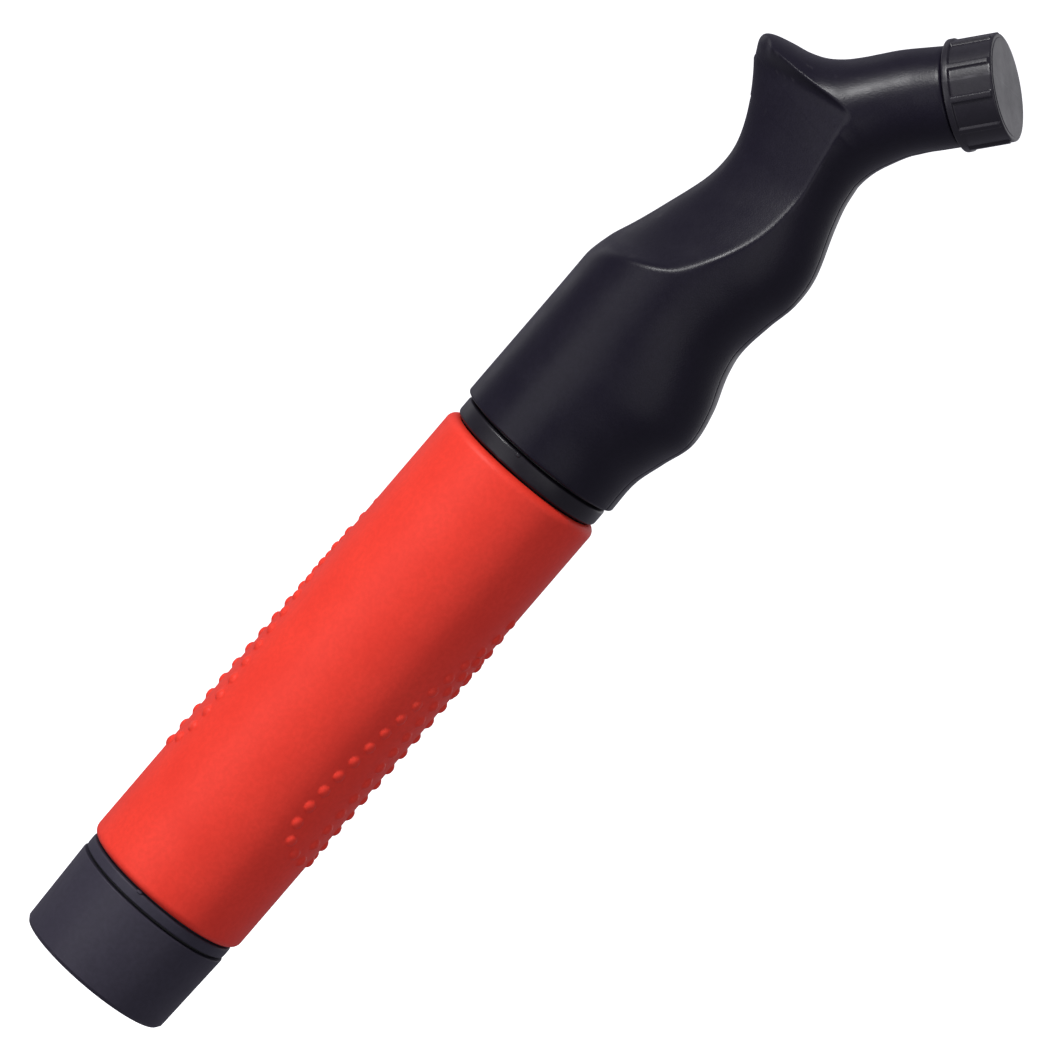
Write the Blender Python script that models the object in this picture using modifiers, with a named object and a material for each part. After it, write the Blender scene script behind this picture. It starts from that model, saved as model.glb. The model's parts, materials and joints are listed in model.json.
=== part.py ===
"""Hand pump for inflating balls.

A black pistol-shaped head carries the cylinder, the outlet valve and the needle socket.
A handle tube with a red rubber grip slides over the cylinder and drives the piston by a rod.
The handle locks to the head with a quarter-turn bayonet, and a screw cap closes each end.

The pump stands on its base cap. The origin is the centre of the base, +Z runs up the cylinder
and +X is the side the spout leans to. Every length below is in millimetres: the pieces hang
from an empty that scales millimetres to the scene's metres.
"""
import math

import bmesh
import bpy
from mathutils import Matrix, Vector

MM = 0.001
PART_GAP = 0.2
MERGE = 0.00001

# Driving dimensions: the column of turned pieces about the Z axis.
BASE_CAP_TOP = 13.8
BASE_CAP_R_LOW = 12.85
BASE_CAP_R_HIGH = 13.3
FLANGE_LOW = 14.7
FLANGE_TOP = 16.2
FLANGE_R = 13.15
GRIP_LOW = 16.5
GRIP_TOP = 99.3
GRIP_R = 13.8
GRIP_BORE_R = 12.3
TUBE_R = 12.1
TUBE_BORE_R = 11.0
TOP_RING_LOW = 99.6
TOP_RING_TOP = 102.5
TOP_RING_R = 13.0
HEAD_LOW = 103.0

# The cylinder, the rod and the piston inside it.
CYLINDER_R = 9.6
CYLINDER_BORE_R = 8.6
CYLINDER_LOW = 24.0
CYLINDER_TOP = 118.0
CYLINDER_COLLAR = (112.0, 114.0)
CYLINDER_COLLAR_R = 10.8
ROD_R = 2.5
ROD_END_R = 2.0
ROD_FIT = 0.06
THREAD_GAP = 0.2
PISTON_LOW = 91.2

# The bayonet between the handle's top ring and the head's skirt.
SPIGOT_R = 11.85
SPIGOT_TOP = 107.2
LUG_REACH = 12.5
LUG_WIDTH = 3.0
LUG_Z = (105.4, 106.9)
LOCK_TURN = 30.0
SKIRT_BORE_R = 12.05
SKIRT_CHAMBER_Z = (104.9, 107.9)
SKIRT_CHAMBER_R = 12.8

# The outlet valve above the cylinder.
VALVE_LOW = 106.0
VALVE_SEAT = 121.0
VALVE_MOUTH = 131.2
VALVE_BODY_R = 6.0
VALVE_CAVITY_R = 4.2
AIR_HOLE_R = 1.2

# The spout: it leans from the cylinder's axis towards +X.
SPOUT_LEAN = 40.0
SPOUT_ROOT_Z = 167.5
SPOUT_LENGTH = 20.2
SPOUT_END_R = 7.5

# The needle socket and its screw cap, measured along the spout from its end face.
SOCKET_TOP = 5.5
SOCKET_R = 3.95
SOCKET_DEPTH = 11.0
SOCKET_THREAD_R = 6.2
NOZZLE_NECK_R = 5.05
NOZZLE_FLANGE = (-6.0, -2.45)
NOZZLE_FLANGE_R = 6.2
BARB_R = 1.95
BARB_LOW = -13.0
NOZZLE_CAP = (0.3, 7.9)
NOZZLE_CAP_R = 8.1
NOZZLE_CAP_RIM_R = 8.4
NOZZLE_CAP_RIBS = 10
NOZZLE_CAP_RIB_TURN = 32.0

# The air hose from the valve to the needle socket.
HOSE_R = 3.1
HOSE_BORE_R = 2.15
HOSE_LOW = 134.0
HOSE_BEND_R = 18.0
HOSE_CHANNEL_R = 3.4

# The head's outer form. Below the bend each section is level: height, then its distance from
# the axis to the front, to the back and to the sides.
FRONT_LINE = [(103.0, 13.7), (108.5, 13.8), (113.5, 15.2), (118.5, 16.8), (124.0, 15.9),
              (130.0, 13.7), (134.0, 13.1), (139.0, 13.9), (144.0, 14.8), (149.0, 14.5),
              (156.0, 12.1), (163.0, 10.2)]
BACK_LINE = [(103.0, 13.8), (131.0, 13.85), (150.0, 14.8), (163.0, 15.7)]
SIDE_LINE = [(103.0, 13.8), (125.0, 13.7), (145.0, 12.3), (163.0, 10.6)]
LEVEL_STATIONS = [103.0, 105.5, 108.5, 111.5, 114.0, 116.5, 119.0, 121.5, 124.0, 127.0, 130.0,
                  132.5, 135.0, 138.0, 141.0, 144.0, 147.0, 150.0, 153.5, 157.0, 160.0, 163.0]

# From the bend on, the sections fan out about a pivot in front of the head: the fan's angle,
# then distances from the pivot to the underside, to the middle and to the back, and half width.
BEND_PIVOT = (33.0, 163.0)
BEND_STATIONS = [
    (3.0, 22.6, 32.9, 48.9, 10.5),
    (6.0, 22.5, 32.6, 49.2, 10.3),
    (7.7, 22.4, 32.3, 49.2, 10.1),
    (8.8, 22.3, 32.1, 48.9, 10.0),
    (9.9, 22.2, 31.9, 48.4, 9.9),
    (10.9, 22.1, 31.6, 47.0, 9.8),
    (12.3, 22.0, 31.3, 44.8, 9.6),
    (14.0, 21.9, 31.0, 42.5, 9.4),
    (16.5, 21.8, 30.6, 40.6, 9.2),
    (20.0, 21.7, 30.0, 39.1, 8.8),
    (24.0, 21.5, 29.4, 38.0, 8.4),
    (28.0, 21.2, 28.9, 37.1, 8.1),
    (32.0, 21.0, 28.5, 36.5, 7.9),
    (36.0, 20.8, 28.3, 36.1, 7.7),
]

# The thumb scoop cut away behind the head. Its sections rise towards the front, and each is a
# parabola: where it crosses the axis, then the ridge's distance behind the axis; and the
# parabola's curvature.
SCOOP_TILT = 12.0
SCOOP_RIDGE = [(131.0, 16.0), (134.0, 14.0), (136.8, 13.2), (140.5, 11.6), (145.1, 9.9),
               (150.7, 8.0), (154.1, 7.5), (157.7, 7.8), (162.0, 9.2), (166.4, 11.5),
               (170.5, 14.2), (173.0, 15.9), (176.0, 18.5), (180.0, 23.0)]
SCOOP_CURVE = [(131.0, 0.045), (134.4, 0.052), (137.6, 0.096), (141.3, 0.118), (146.1, 0.142),
               (151.3, 0.170), (156.4, 0.198), (161.7, 0.226), (167.0, 0.222), (169.8, 0.215),
               (171.2, 0.170), (173.0, 0.130), (176.0, 0.110), (180.0, 0.100)]
SCOOP_REACH = 15.5
SCOOP_BACK = 40.0

# Screws that hold the two halves of the head: X, Z and the depth of the head's seat in Y.
CASING_SCREWS = [(12.6, 119.0, 4.6), (-10.8, 124.6, 3.2), (10.4, 145.0, 4.8), (6.2, 165.2, 4.3)]
SCREW_HEAD_R = 2.3
SCREW_HEAD_H = 1.5
SCREW_R = 1.15
SCREW_LENGTH = 9.2

# The halves of the head meet on the mid-plane, with this much between them.
SPLIT_GAP = 0.24
SPLIT_BLOCK = 120.0
SPLIT_MIDDLE = 150.0

HEAD_POINTS = 32
STEPS_LARGE = 36
STEPS_MIDDLE = 24
STEPS_SMALL = 20


def clear_scene():
    """Remove the objects of the open scene."""
    for item in list(bpy.data.objects):
        bpy.data.objects.remove(item, do_unlink=True)


def make_collection(name):
    collection = bpy.data.collections.new(name)
    bpy.context.scene.collection.children.link(collection)
    return collection


def make_material(name, colour, roughness, metallic=0.0):
    material = bpy.data.materials.new(name)
    material.use_nodes = True
    shader = material.node_tree.nodes["Principled BSDF"]
    shader.inputs["Base Color"].default_value = (*colour, 1.0)
    shader.inputs["Roughness"].default_value = roughness
    shader.inputs["Metallic"].default_value = metallic
    return material


def make_materials():
    """One finish for each kind of material in the pump."""
    return {
        "head_plastic": make_material("head_plastic", (0.016, 0.015, 0.018), 0.42),
        "ring_plastic": make_material("ring_plastic", (0.020, 0.018, 0.022), 0.38),
        "cap_plastic": make_material("cap_plastic", (0.032, 0.031, 0.040), 0.45),
        "grip_rubber": make_material("grip_rubber", (0.80, 0.055, 0.035), 0.55),
        "seal_rubber": make_material("seal_rubber", (0.02, 0.02, 0.02), 0.65),
        "cylinder_plastic": make_material("cylinder_plastic", (0.045, 0.045, 0.05), 0.3),
        "bearing_plastic": make_material("bearing_plastic", (0.75, 0.74, 0.70), 0.4),
        "hose_rubber": make_material("hose_rubber", (0.05, 0.05, 0.055), 0.5),
        "steel": make_material("steel", (0.62, 0.62, 0.64), 0.28, 1.0),
        "brass": make_material("brass", (0.78, 0.60, 0.30), 0.3, 1.0),
    }


class Workshop:
    """The collections and finishes that every piece is made with."""

    def __init__(self):
        self.parts = make_collection("ball_inflation_pump")
        self.cutters = make_collection("cutters")
        self.finishes = make_materials()
        self.frame = self.add_frame("pump_frame")
        self.frame.scale = (MM, MM, MM)
        self.spout = self.add_frame("spout_frame", self.frame)
        self.place_spout_frame()

    def add_frame(self, name, parent=None):
        empty = bpy.data.objects.new(name, None)
        empty.parent = parent
        self.parts.objects.link(empty)
        return empty

    def place_spout_frame(self):
        """The spout's frame sits on its end face, with its Z axis running out of it."""
        lean = math.radians(SPOUT_LEAN)
        self.spout.location = (SPOUT_LENGTH * math.sin(lean), 0.0,
                               SPOUT_ROOT_Z + SPOUT_LENGTH * math.cos(lean))
        self.spout.rotation_euler = (0.0, lean, 0.0)

    def add_part(self, name, mesh, finish, parent=None):
        part = bpy.data.objects.new(name, mesh)
        mesh.materials.append(self.finishes[finish])
        part.parent = parent or self.frame
        self.parts.objects.link(part)
        return part

    def add_cutter(self, name, mesh, parent=None):
        cutter = bpy.data.objects.new(name, mesh)
        cutter.parent = parent or self.frame
        cutter.hide_render = True
        cutter.display_type = "WIRE"
        self.cutters.objects.link(cutter)
        return cutter


def profile_mesh(name, outline, closed):
    """An outline of (radius, height) points in the XZ plane, ready for a Screw modifier."""
    mesh = bpy.data.meshes.new(name)
    points = [(radius, 0.0, height) for radius, height in outline]
    count = len(points)
    edges = [(i, i + 1) for i in range(count - 1)]
    if closed:
        edges.append((count - 1, 0))
    mesh.from_pydata(points, edges, [])
    return mesh


def turn(part, steps):
    """Turn an object's profile about its own Z axis."""
    screw = part.modifiers.new("turned", "SCREW")
    screw.steps = steps
    screw.render_steps = steps
    screw.use_merge_vertices = True
    screw.merge_threshold = MERGE
    screw.use_smooth_shade = True


def turned_part(shop, name, outline, finish, steps=STEPS_SMALL, parent=None):
    """A turned piece. Its outline runs down the outside; a ring's outline closes on itself."""
    ring = min(radius for radius, height in outline) > 0.0
    part = shop.add_part(name, profile_mesh(name, outline, ring), finish, parent)
    turn(part, steps)
    return part


def turned_cutter(shop, name, outline, steps=STEPS_SMALL, parent=None):
    ring = min(radius for radius, height in outline) > 0.0
    cutter = shop.add_cutter(name, profile_mesh(name, outline, ring), parent)
    turn(cutter, steps)
    return cutter


def rod_outline(radius, low, top):
    return [(0.0, top), (radius, top), (radius, low), (0.0, low)]


def ring_outline(radius, bore, low, top):
    return [(radius, top), (radius, low), (bore, low), (bore, top)]


def corner(centre, radius, start, end, segments=4):
    """Points of an arc in an outline, by angle in degrees from the outward direction."""
    points = []
    for i in range(segments + 1):
        angle = math.radians(start + (end - start) * i / segments)
        points.append((centre[0] + radius * math.cos(angle), centre[1] + radius * math.sin(angle)))
    return points


def box_mesh(name, blocks):
    """Separate boxes in one mesh, each given by a matrix and its size."""
    mesh = bpy.data.meshes.new(name)
    work = bmesh.new()
    for matrix, size in blocks:
        bmesh.ops.create_cube(work, size=1.0, matrix=matrix @ Matrix.Diagonal((*size, 1.0)))
    work.to_mesh(mesh)
    work.free()
    return mesh


def cylinder_mesh(name, radius, start, end, sides=STEPS_SMALL):
    """A plain round bar between two points."""
    start = Vector(start)
    end = Vector(end)
    along = end - start
    turn_to = along.to_track_quat("Z", "Y").to_matrix().to_4x4()
    place = Matrix.Translation((start + end) / 2) @ turn_to
    mesh = bpy.data.meshes.new(name)
    work = bmesh.new()
    bmesh.ops.create_cone(work, cap_ends=True, segments=sides, radius1=radius, radius2=radius,
                          depth=along.length, matrix=place)
    work.to_mesh(mesh)
    work.free()
    return mesh


def combine(part, other, operation):
    step = part.modifiers.new(operation.lower(), "BOOLEAN")
    step.operation = operation
    step.solver = "EXACT"
    step.object = other
    return step


def interpolate(stations, position):
    """A smooth curve through a list of (position, value) stations."""
    last = len(stations) - 1
    if position <= stations[0][0]:
        return stations[0][1]
    if position >= stations[last][0]:
        return stations[last][1]
    index = 0
    while stations[index + 1][0] < position:
        index += 1
    x0, y0 = stations[index]
    x1, y1 = stations[index + 1]
    slopes = []
    for k in (index, index + 1):
        before = stations[max(k - 1, 0)]
        after = stations[min(k + 1, last)]
        slopes.append((after[1] - before[1]) / (after[0] - before[0]))
    span = x1 - x0
    t = (position - x0) / span
    return ((2 * t ** 3 - 3 * t ** 2 + 1) * y0 + (t ** 3 - 2 * t ** 2 + t) * span * slopes[0]
            + (3 * t ** 2 - 2 * t ** 3) * y1 + (t ** 3 - t ** 2) * span * slopes[1])


def bend_point(angle, distance):
    """A point of the mid-plane on a section of the bend, from the pivot."""
    tilt = math.radians(angle)
    return (BEND_PIVOT[0] - distance * math.cos(tilt), BEND_PIVOT[1] + distance * math.sin(tilt))


def section_ring(middle, front, back, half_width, count):
    """One closed section: two half ellipses that meet at the widest place.

    middle, front and back are points of the mid-plane as (X, Z)."""
    ring = []
    for i in range(count):
        angle = 2 * math.pi * i / count
        tip = front if math.cos(angle) >= 0.0 else back
        reach = abs(math.cos(angle))
        x = middle[0] + (tip[0] - middle[0]) * reach
        z = middle[1] + (tip[1] - middle[1]) * reach
        ring.append(Vector((x, half_width * math.sin(angle), z)))
    return ring


def head_rings(count):
    """The head's sections from the skirt up to the end of the spout."""
    rings = []
    for height in LEVEL_STATIONS:
        front = (interpolate(FRONT_LINE, height), height)
        back = (-interpolate(BACK_LINE, height), height)
        rings.append(section_ring((0.0, height), front, back,
                                  interpolate(SIDE_LINE, height), count))
    for angle, under, middle, back, half_width in BEND_STATIONS:
        rings.append(section_ring(bend_point(angle, middle), bend_point(angle, under),
                                  bend_point(angle, back), half_width, count))
    lean = math.radians(SPOUT_LEAN)
    end = (SPOUT_LENGTH * math.sin(lean), SPOUT_ROOT_Z + SPOUT_LENGTH * math.cos(lean))
    across = (SPOUT_END_R * math.cos(lean), -SPOUT_END_R * math.sin(lean))
    rings.append(section_ring(end, (end[0] + across[0], end[1] + across[1]),
                              (end[0] - across[0], end[1] - across[1]), SPOUT_END_R, count))
    return rings


def loft_mesh(name, rings):
    """A closed skin through rings of equal count, with a flat cap at each end."""
    mesh = bpy.data.meshes.new(name)
    work = bmesh.new()
    rows = [[work.verts.new(point) for point in ring] for ring in rings]
    for low, high in zip(rows, rows[1:]):
        count = len(low)
        for i in range(count):
            j = (i + 1) % count
            work.faces.new((low[i], low[j], high[j], high[i]))
    work.faces.new(list(reversed(rows[0])))
    work.faces.new(rows[-1])
    bmesh.ops.recalc_face_normals(work, faces=work.faces)
    work.to_mesh(mesh)
    work.free()
    return mesh


def scoop_rings(step=2.7, half_points=8):
    """Sections of the block that is cut away behind the head."""
    rings = []
    rise = math.tan(math.radians(SCOOP_TILT))
    low = SCOOP_RIDGE[0][0]
    high = SCOOP_RIDGE[-1][0]
    levels = int(round((high - low) / step))
    for level in range(levels + 1):
        height = low + (high - low) * level / levels
        ridge = -interpolate(SCOOP_RIDGE, height)
        curve = interpolate(SCOOP_CURVE, height)
        outline = []
        for i in range(-half_points, half_points + 1):
            across = SCOOP_REACH * i / half_points
            outline.append((ridge + curve * across ** 2, across))
        outline.append((-SCOOP_BACK, SCOOP_REACH))
        outline.append((-SCOOP_BACK, -SCOOP_REACH))
        rings.append([Vector((x, y, height + x * rise)) for x, y in outline])
    return rings


def hose_route(points_in_bend=8):
    """The hose's middle line: up the cylinder's axis, round the bend, and along the spout."""
    lean = math.radians(SPOUT_LEAN)
    tangent = HOSE_BEND_R * math.tan(lean / 2)
    start = SPOUT_ROOT_Z - tangent
    route = [Vector((0.0, 0.0, HOSE_LOW)), Vector((0.0, 0.0, (HOSE_LOW + start) / 2))]
    for i in range(points_in_bend + 1):
        turned = lean * i / points_in_bend
        route.append(Vector((HOSE_BEND_R * (1 - math.cos(turned)), 0.0,
                             start + HOSE_BEND_R * math.sin(turned))))
    along = Vector((math.sin(lean), 0.0, math.cos(lean)))
    hose_end = SPOUT_LENGTH + NOZZLE_FLANGE[0] - 1.6
    route.append(Vector((0.0, 0.0, SPOUT_ROOT_Z)) + along * hose_end)
    return route


def tube_mesh(name, route, radius, extend=0.0):
    """A round bar along a route, made with a bevelled curve and turned into a mesh."""
    points = [point.copy() for point in route]
    points[0] += (points[0] - points[1]).normalized() * extend
    points[-1] += (points[-1] - points[-2]).normalized() * extend
    curve = bpy.data.curves.new(name, "CURVE")
    curve.dimensions = "3D"
    curve.bevel_depth = radius
    curve.bevel_resolution = 3
    curve.use_fill_caps = True
    spline = curve.splines.new("POLY")
    spline.points.add(len(points) - 1)
    for target, point in zip(spline.points, points):
        target.co = (*point, 1.0)
    holder = bpy.data.objects.new(name, curve)
    bpy.context.scene.collection.objects.link(holder)
    evaluated = holder.evaluated_get(bpy.context.evaluated_depsgraph_get())
    mesh = bpy.data.meshes.new_from_object(evaluated)
    bpy.data.objects.remove(holder)
    work = bmesh.new()
    work.from_mesh(mesh)
    bmesh.ops.remove_doubles(work, verts=work.verts, dist=MERGE)
    work.to_mesh(mesh)
    work.free()
    mesh.name = name
    return mesh


def hex_nut(shop, name, across_flats, bore, low, top, finish):
    """A hexagonal nut about the Z axis."""
    mesh = bpy.data.meshes.new(name)
    work = bmesh.new()
    bmesh.ops.create_cone(work, cap_ends=True, segments=6, depth=top - low,
                          radius1=across_flats / math.sqrt(3), radius2=across_flats / math.sqrt(3),
                          matrix=Matrix.Translation((0.0, 0.0, (low + top) / 2)))
    work.to_mesh(mesh)
    work.free()
    nut = shop.add_part(name, mesh, finish)
    hole = turned_cutter(shop, name + "_hole", rod_outline(bore, low - 1.0, top + 1.0))
    combine(nut, hole, "DIFFERENCE")
    return nut


def around(angle, radius, height):
    """A frame at an angle round the Z axis: its X points outwards."""
    return (Matrix.Rotation(math.radians(angle), 4, "Z")
            @ Matrix.Translation((radius, 0.0, height)))


def make_head_cutters(shop):
    """The hollows of the head that both halves share."""
    cutters = []

    skirt = turned_cutter(shop, "skirt_bore", rod_outline(
        SKIRT_BORE_R, HEAD_LOW - 1.0, SKIRT_CHAMBER_Z[0] + 1.0), STEPS_LARGE)
    chamber = turned_cutter(shop, "skirt_chamber", rod_outline(SKIRT_CHAMBER_R, *SKIRT_CHAMBER_Z),
                            STEPS_LARGE)
    stop_angle = LOCK_TURN + 13.0
    stop_middle = sum(SKIRT_CHAMBER_Z) / 2
    stop_blocks = [(around(side + stop_angle, SKIRT_BORE_R + 1.0, stop_middle), (1.8, 2.0, 6.0))
                   for side in (-90.0, 90.0)]
    stops = shop.add_cutter("bayonet_stops", box_mesh("bayonet_stops", stop_blocks))
    combine(chamber, stops, "DIFFERENCE")
    cutters += [skirt, chamber]

    slot_height = SKIRT_CHAMBER_Z[0] - HEAD_LOW + 1.5
    slot_middle = HEAD_LOW - 1.0 + slot_height / 2
    slot_reach = SKIRT_CHAMBER_R - 10.0
    slots = [(around(side, 10.0 + slot_reach / 2, slot_middle),
              (slot_reach, LUG_WIDTH + 0.9, slot_height)) for side in (-90.0, 90.0)]
    cutters.append(shop.add_cutter("lug_slots", box_mesh("lug_slots", slots)))

    collar_low, collar_top = CYLINDER_COLLAR
    cutters.append(turned_cutter(shop, "cylinder_seat", [
        (0.0, 121.0),
        (CYLINDER_R + 0.3, 121.0),
        (CYLINDER_R + 0.3, collar_top + 0.3),
        (CYLINDER_COLLAR_R + 0.3, collar_top + 0.3),
        (CYLINDER_COLLAR_R + 0.3, collar_low - 0.3),
        (CYLINDER_R + 0.3, collar_low - 0.3),
        (CYLINDER_R + 0.3, SKIRT_CHAMBER_Z[1] - 0.5),
        (0.0, SKIRT_CHAMBER_Z[1] - 0.5),
    ], STEPS_LARGE))

    cutters.append(turned_cutter(shop, "valve_chamber", [
        (0.0, 150.0), (5.2, 150.0), (7.0, 144.0), (8.0, 134.0), (8.0, 120.6), (0.0, 120.6),
    ], STEPS_LARGE))

    cutters.append(shop.add_cutter("hose_channel", tube_mesh(
        "hose_channel", hose_route(), HOSE_CHANNEL_R, extend=0.6)))

    flange_low, flange_top = NOZZLE_FLANGE
    cutters.append(turned_cutter(shop, "nozzle_seat", [
        (0.0, 2.0),
        (NOZZLE_NECK_R + 0.25, 2.0),
        (NOZZLE_NECK_R + 0.25, flange_top + 0.25),
        (NOZZLE_FLANGE_R + 0.25, flange_top + 0.25),
        (NOZZLE_FLANGE_R + 0.25, flange_low - 0.25),
        (HOSE_CHANNEL_R, flange_low - 0.6),
        (HOSE_CHANNEL_R, flange_low - 3.0),
        (0.0, flange_low - 3.0),
    ], STEPS_MIDDLE, shop.spout))
    return cutters


def make_head_shell(shop, name, side, shared_cutters):
    """One half of the head: side is -1 for the half at -Y and 1 for the other."""
    shell = shop.add_part(name, loft_mesh(name, head_rings(HEAD_POINTS)), "head_plastic")
    block = Matrix.Translation((0.0, -side * (SPLIT_BLOCK / 2 - SPLIT_GAP / 2), SPLIT_MIDDLE))
    other_half = shop.add_cutter(name + "_split", box_mesh(
        name + "_split", [(block, (SPLIT_BLOCK, SPLIT_BLOCK, SPLIT_BLOCK))]))
    scoop = shop.add_cutter(name + "_scoop", loft_mesh(name + "_scoop", scoop_rings()))
    combine(shell, scoop, "DIFFERENCE")
    combine(shell, other_half, "DIFFERENCE")
    for cutter in shared_cutters:
        combine(shell, cutter, "DIFFERENCE")
    return shell


def make_casing_screws(shop, left_shell, right_shell):
    """Self-tapping screws that enter from the +Y half, with their holes."""
    for number, (x, z, seat) in enumerate(CASING_SCREWS, start=1):
        name = "casing_screw_%d" % number
        head_low = seat + PART_GAP
        tip = head_low - SCREW_LENGTH
        screw = turned_part(shop, name, [
            (0.0, head_low + SCREW_HEAD_H),
            (SCREW_HEAD_R * 0.7, head_low + SCREW_HEAD_H),
            (SCREW_HEAD_R, head_low + SCREW_HEAD_H * 0.6),
            (SCREW_HEAD_R, head_low),
            (SCREW_R, head_low),
            (SCREW_R, tip + 1.0),
            (0.0, tip),
        ], "steel", 16)
        screw.location = (x, 0.0, z)
        screw.rotation_euler = (-math.pi / 2, 0.0, 0.0)
        hole = shop.add_cutter(name + "_hole", cylinder_mesh(
            name + "_hole", SCREW_R + PART_GAP, (x, tip - 0.6, z), (x, seat + 1.0, z), 16))
        sink = shop.add_cutter(name + "_sink", cylinder_mesh(
            name + "_sink", SCREW_HEAD_R + PART_GAP, (x, seat, z), (x, 20.0, z), 16))
        combine(left_shell, hole, "DIFFERENCE")
        combine(right_shell, hole, "DIFFERENCE")
        combine(right_shell, sink, "DIFFERENCE")


def make_cylinder(shop):
    """The pump's cylinder with the collar that the head's halves clamp."""
    collar_low, collar_top = CYLINDER_COLLAR
    turned_part(shop, "cylinder_tube", [
        (CYLINDER_R, CYLINDER_TOP),
        (CYLINDER_R, collar_top),
        (CYLINDER_COLLAR_R, collar_top),
        (CYLINDER_COLLAR_R, collar_low),
        (CYLINDER_R, collar_low),
        (CYLINDER_R, CYLINDER_LOW),
        (CYLINDER_BORE_R, CYLINDER_LOW),
        (CYLINDER_BORE_R, CYLINDER_TOP),
    ], "cylinder_plastic", STEPS_LARGE)


def make_cylinder_end(shop):
    """The bush that closes the cylinder's lower end, guides the rod and lets air past."""
    flange_top = CYLINDER_LOW - PART_GAP
    plug_top = CYLINDER_LOW + 2.5
    bush = turned_part(shop, "cylinder_end_bush", [
        (CYLINDER_BORE_R - PART_GAP, plug_top),
        (CYLINDER_BORE_R - PART_GAP, flange_top),
        (CYLINDER_R, flange_top),
        (CYLINDER_R, flange_top - 1.5),
        (ROD_R + ROD_FIT, flange_top - 1.5),
        (ROD_R + ROD_FIT, plug_top),
    ], "bearing_plastic", STEPS_SMALL)
    vent_ring = 5.4
    for number, angle in enumerate((30.0, 150.0, 270.0), start=1):
        x = vent_ring * math.cos(math.radians(angle))
        y = vent_ring * math.sin(math.radians(angle))
        vent = shop.add_cutter("vent_%d" % number, cylinder_mesh(
            "vent_%d" % number, 1.0, (x, y, flange_top - 3.0), (x, y, plug_top + 1.0), 12))
        combine(bush, vent, "DIFFERENCE")


def make_valve(shop):
    """The outlet valve: body, seal, disc, spring and the nipple that holds them in."""
    plug_r = CYLINDER_BORE_R - PART_GAP
    seal_middle = 112.2
    seal_r = 0.6
    seal_ring = CYLINDER_BORE_R - 0.15 - seal_r
    groove = (seal_ring - seal_r - 0.15, seal_middle - 0.9, seal_middle + 0.9)
    shoulder = CYLINDER_TOP + PART_GAP
    turned_part(shop, "valve_body", [
        (VALVE_BODY_R, VALVE_MOUTH),
        (VALVE_BODY_R, shoulder + 2.0),
        (CYLINDER_R, shoulder + 2.0),
        (CYLINDER_R, shoulder),
        (plug_r, shoulder),
        (plug_r, groove[2]),
        (groove[0], groove[2]),
        (groove[0], groove[1]),
        (plug_r, groove[1]),
        (plug_r, VALVE_LOW),
        (AIR_HOLE_R, VALVE_LOW),
        (AIR_HOLE_R, VALVE_SEAT),
        (VALVE_CAVITY_R, VALVE_SEAT),
        (VALVE_CAVITY_R, VALVE_MOUTH),
    ], "cylinder_plastic", STEPS_MIDDLE)

    turned_part(shop, "valve_body_seal", [
        (seal_ring + point[0], seal_middle + point[1])
        for point in corner((0.0, 0.0), seal_r, 0.0, -300.0, 5)
    ], "seal_rubber", STEPS_MIDDLE)

    disc_low = VALVE_SEAT + 0.1
    turned_part(shop, "valve_disc", [
        (0.0, disc_low + 4.2),
        (1.1, disc_low + 4.2),
        (1.1, disc_low + 1.8),
        (3.5, disc_low + 1.8),
        (3.5, disc_low),
        (0.0, disc_low),
    ], "seal_rubber")

    spring_low = disc_low + 2.1
    spring_high = VALVE_MOUTH - 2.1
    make_valve_spring(shop, spring_low, spring_high)

    nipple_shoulder = VALVE_MOUTH + PART_GAP
    turned_part(shop, "outlet_nipple", [
        (BARB_R, nipple_shoulder + 9.5),
        (BARB_R, nipple_shoulder + 1.8),
        (VALVE_BODY_R - 0.5, nipple_shoulder + 1.8),
        (VALVE_BODY_R - 0.5, nipple_shoulder),
        (VALVE_CAVITY_R - PART_GAP, nipple_shoulder),
        (VALVE_CAVITY_R - PART_GAP, nipple_shoulder - 2.0),
        (AIR_HOLE_R, nipple_shoulder - 2.0),
        (AIR_HOLE_R, nipple_shoulder + 9.5),
    ], "cylinder_plastic")


def make_valve_spring(shop, low, high, turns=4, points_per_turn=10):
    """The coil spring over the valve disc."""
    wire_r = 0.3
    coil_r = 2.5
    total = turns * points_per_turn
    route = []
    for i in range(total + 1):
        angle = 2 * math.pi * i / points_per_turn
        height = low + wire_r + (high - low - 2 * wire_r) * i / total
        route.append(Vector((coil_r * math.cos(angle), coil_r * math.sin(angle), height)))
    curve = bpy.data.curves.new("valve_spring", "CURVE")
    curve.dimensions = "3D"
    curve.bevel_depth = wire_r
    curve.bevel_resolution = 1
    curve.use_fill_caps = True
    spline = curve.splines.new("POLY")
    spline.points.add(total)
    for target, point in zip(spline.points, route):
        target.co = (*point, 1.0)
    shop.add_part("valve_spring", curve, "steel")


def make_hose(shop):
    """The rubber hose from the valve's nipple to the needle socket's barb."""
    hose = shop.add_part("air_hose", tube_mesh("air_hose", hose_route(), HOSE_R), "hose_rubber")
    bore = shop.add_cutter("hose_bore", tube_mesh("hose_bore", hose_route(), HOSE_BORE_R, 1.0))
    combine(hose, bore, "DIFFERENCE")


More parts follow.
